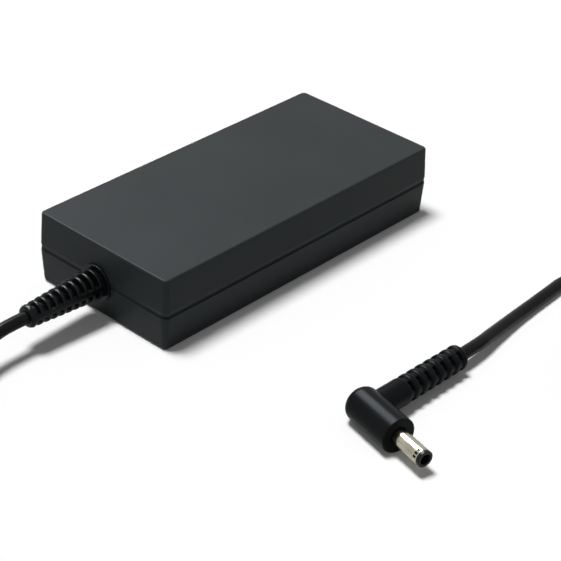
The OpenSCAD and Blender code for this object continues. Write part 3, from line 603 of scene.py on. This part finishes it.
# Mains side of the board: a green fibreglass board, and on it the fuse, the surge and inrush
# discs, the filter's yellow and blue capacitors, its ring choke and the bridge rectifier, all
# soldered through the board. They are hidden inside the shells.
def ridged_finish(material, per_metre, depth, axis, wobble):
    """Adds fine parallel ridges to a finish, as wire turns, rolled metal or printed lines have."""
    ridges_at_scale_one = 10 / math.pi
    nodes, links = material.node_tree.nodes, material.node_tree.links
    place = nodes.new("ShaderNodeTexCoord")
    ridges = nodes.new("ShaderNodeTexWave")
    ridges.bands_direction = axis
    ridges.inputs["Scale"].default_value = per_metre / ridges_at_scale_one
    ridges.inputs["Distortion"].default_value = wobble
    ridges.inputs["Detail"].default_value = 1.0
    relief = nodes.new("ShaderNodeBump")
    relief.inputs["Distance"].default_value = depth
    links.new(place.outputs["Object"], ridges.inputs["Vector"])
    links.new(ridges.outputs["Fac"], relief.inputs["Height"])
    links.new(nodes["dents"].outputs["Normal"], relief.inputs["Normal"])
    links.new(relief.outputs["Normal"], nodes["Principled BSDF"].inputs["Normal"])
    return material


def dipped_part(name, deep, pale, rough, pits, *solids):
    """Finishes solids on the board that are moulded in epoxy, dipped in it, or wrapped in a plain skin."""
    finish_node(patchy_finish(name, deep, pale, rough, pits=pits), *solids)


def wound_copper(name, deep, pale, turns_per_metre, depth, axis):
    """Enamelled copper wire, wound turn by turn along an axis."""
    bare = patchy_finish(name, deep, pale, (0.20, 0.28), metal=1.0, pits=500.0)
    return ridged_finish(bare, turns_per_metre, depth, axis, wobble=0.2)


solder_mask = patchy_finish(
    "board_green", deep=(0.010, 0.075, 0.030), pale=(0.016, 0.110, 0.045), rough=(0.30, 0.40),
    pits=4000.0, pit_depth=0.00001, patches=400.0)
finish_node(ridged_finish(solder_mask, 900, 0.00002, "Y", wobble=6.0), "circuit_board")
dipped_part("fuse_epoxy", (0.050, 0.022, 0.012), (0.075, 0.034, 0.018), (0.30, 0.40), 2600.0, "fuse")
dipped_part("blue_epoxy", (0.018, 0.060, 0.220), (0.026, 0.085, 0.280), (0.22, 0.32), 900.0,
            "varistor", "y_capacitors")
dipped_part("black_epoxy", (0.014, 0.014, 0.014), (0.024, 0.024, 0.023), (0.40, 0.55), 3500.0,
            "thermistor", "bridge_rectifier")
dipped_part("yellow_box", (0.620, 0.420, 0.040), (0.700, 0.500, 0.065), (0.34, 0.44), 2600.0, "x_capacitor")
dipped_part("green_ring", (0.020, 0.130, 0.045), (0.030, 0.170, 0.060), (0.28, 0.38), 1200.0,
            "mains_choke_core")
finish_node(wound_copper("choke_wire", (0.520, 0.180, 0.055), (0.640, 0.250, 0.090), 1400, 0.00008, "Y"),
            "mains_choke_windings")


# Power side: the boost coil and the flat transformer in grey ferrite, the big capacitor lying
# in its sleeve, the transistors on their aluminium plate, and the small control parts.
grey_ferrite = patchy_finish(
    "grey_ferrite", deep=(0.030, 0.031, 0.034), pale=(0.058, 0.060, 0.064), rough=(0.45, 0.60),
    pits=1800.0, pit_depth=0.00005, patches=300.0)
finish_node(grey_ferrite, "boost_inductor_core", "transformer_core")
finish_node(wound_copper("boost_wire", (0.500, 0.170, 0.050), (0.620, 0.240, 0.085), 1100, 0.00010, "Z"),
            "boost_inductor_winding")
dipped_part("dark_sleeve", (0.012, 0.014, 0.030), (0.018, 0.021, 0.042), (0.20, 0.30), 1200.0,
            "bulk_capacitor")
chip_black = patchy_finish(
    "chip_black", deep=(0.011, 0.011, 0.012), pale=(0.018, 0.018, 0.019), rough=(0.50, 0.62),
    pits=5000.0, pit_depth=0.00003)
finish_node(chip_black, "switching_transistors", "control_chip", "transformer_bobbin")
bare_aluminium = patchy_finish(
    "rolled_aluminium", deep=(0.560, 0.570, 0.580), pale=(0.660, 0.670, 0.680), rough=(0.28, 0.40),
    metal=1.0, pits=900.0, pit_depth=0.00001)
rolled_aluminium = ridged_finish(bare_aluminium, 5200, 0.000012, "Z", wobble=2.5)
finish_node(rolled_aluminium, "primary_heat_sink")
dipped_part("yellow_tape", (0.700, 0.520, 0.050), (0.780, 0.610, 0.090), (0.18, 0.30), 700.0,
            "transformer_winding")
dipped_part("red_box", (0.300, 0.022, 0.016), (0.380, 0.034, 0.024), (0.30, 0.40), 2600.0,
            "resonant_capacitor")
dipped_part("white_epoxy", (0.620, 0.620, 0.600), (0.720, 0.720, 0.700), (0.38, 0.50), 2600.0, "optocoupler")


# Output side: two rectifiers on their plate, three capacitors in green-black sleeves, a wound
# coil, and the two insulated leads that come from the cord behind the strain relief.
finish_node(chip_black, "output_rectifiers")
finish_node(rolled_aluminium, "secondary_heat_sink")
dipped_part("green_sleeve", (0.010, 0.034, 0.028), (0.016, 0.046, 0.038), (0.20, 0.30), 1200.0,
            "output_capacitors")
finish_node(wound_copper("output_wire", (0.520, 0.180, 0.055), (0.640, 0.250, 0.090), 1300, 0.00008, "X"),
            "output_inductor")
dipped_part("lead_red", (0.360, 0.016, 0.014), (0.440, 0.026, 0.022), (0.30, 0.40), 1500.0, "output_leads")


# Heat spreaders: a folded aluminium tray over and under the board, each with a sheet of
# yellowish insulating film, and soft silicone pads that carry the heat to the upper one.
finish_node(rolled_aluminium, "lower_heat_spreader", "upper_heat_spreader")
insulating_film = patchy_finish(
    "insulating_film", deep=(0.640, 0.560, 0.260), pale=(0.720, 0.640, 0.330), rough=(0.16, 0.26),
    pits=600.0, pit_depth=0.00001)
finish_node(insulating_film, "lower_insulating_sheet", "upper_insulating_sheet")
silicone_pad = patchy_finish(
    "silicone_pad", deep=(0.260, 0.330, 0.480), pale=(0.320, 0.390, 0.540), rough=(0.60, 0.75),
    gloss=0.3, pits=2600.0, pit_depth=0.00004)
finish_node(silicone_pad, "thermal_pads")


# Table: a plain white matt sheet under everything. It glows very faintly, as a sheet lit
# from below as well does, which keeps the shadows on it from going deeper than mid grey.
table_reach = 4
table_corners = [(x * table_reach, y * table_reach, 0) for x, y in ((-1, -1), (1, -1), (1, 1), (-1, 1))]
table_mesh = bpy.data.meshes.new("table")
table_mesh.from_pydata(table_corners, [], [(0, 1, 2, 3)])
table = bpy.data.objects.new("table", table_mesh)
bpy.context.scene.collection.objects.link(table)
white_sheet = bpy.data.materials.new("white_sheet")
white_sheet.use_nodes = True
sheet_surface = white_sheet.node_tree.nodes["Principled BSDF"]
sheet_surface.inputs["Base Color"].default_value = (0.96, 0.96, 0.96, 1.0)
sheet_surface.inputs["Roughness"].default_value = 0.9
sheet_surface.inputs["Specular IOR Level"].default_value = 0.0
sheet_surface.inputs["Emission Color"].default_value = (1.0, 1.0, 1.0, 1.0)
sheet_surface.inputs["Emission Strength"].default_value = 0.045
table_mesh.materials.append(white_sheet)


# Studio light: one large soft lamp high overhead, a little to the back left, and even white
# light all round, which matt surfaces see much dimmer than the lens and glossy surfaces do.
# A pale panel at the back shows in glossy surfaces only, as the sheen on the case's top.
def studio_lamp(name, strength, spread, direction, tint=(1.0, 1.0, 1.0)):
    """A lamp that shines from one direction all over the scene, and looks that many degrees wide."""
    lamp_data = bpy.data.lights.new(name, "SUN")
    lamp_data.energy = strength
    lamp_data.angle = math.radians(spread)
    lamp_data.color = tint
    lamp = bpy.data.objects.new(name, lamp_data)
    lamp.rotation_euler = Vector(direction).to_track_quat("Z", "Y").to_euler()
    bpy.context.scene.collection.objects.link(lamp)
    return lamp


studio_lamp("soft_lamp", 2.86, 17, (-0.11, 0.215, 1.0))
sheen_panel = studio_lamp("sheen_panel", 7.6, 35, (0.19, 0.57, 0.80), tint=(0.88, 0.95, 1.0))
sheen_panel.visible_diffuse = False
room = bpy.data.worlds.new("white_room")
room.use_nodes = True
room_nodes, room_links = room.node_tree.nodes, room.node_tree.links
room_nodes["Background"].inputs["Color"].default_value = (1.0, 1.0, 1.0, 1.0)
room_ray = room_nodes.new("ShaderNodeLightPath")
room_level = room_nodes.new("ShaderNodeMapRange")
room_level.inputs["To Min"].default_value = 0.12
room_level.inputs["To Max"].default_value = 1.0
lens_or_gloss = room_nodes.new("ShaderNodeMath")
lens_or_gloss.operation = "MAXIMUM"
any_clear_view = room_nodes.new("ShaderNodeMath")
any_clear_view.operation = "MAXIMUM"
room_links.new(room_ray.outputs["Is Camera Ray"], lens_or_gloss.inputs[0])
room_links.new(room_ray.outputs["Is Glossy Ray"], lens_or_gloss.inputs[1])
room_links.new(lens_or_gloss.outputs["Value"], any_clear_view.inputs[0])
room_links.new(room_ray.outputs["Is Transmission Ray"], any_clear_view.inputs[1])
room_links.new(any_clear_view.outputs["Value"], room_level.inputs["Value"])
room_links.new(room_level.outputs["Result"], room_nodes["Background"].inputs["Strength"])
bpy.context.scene.world = room
bpy.context.scene.view_settings.view_transform = "Standard"
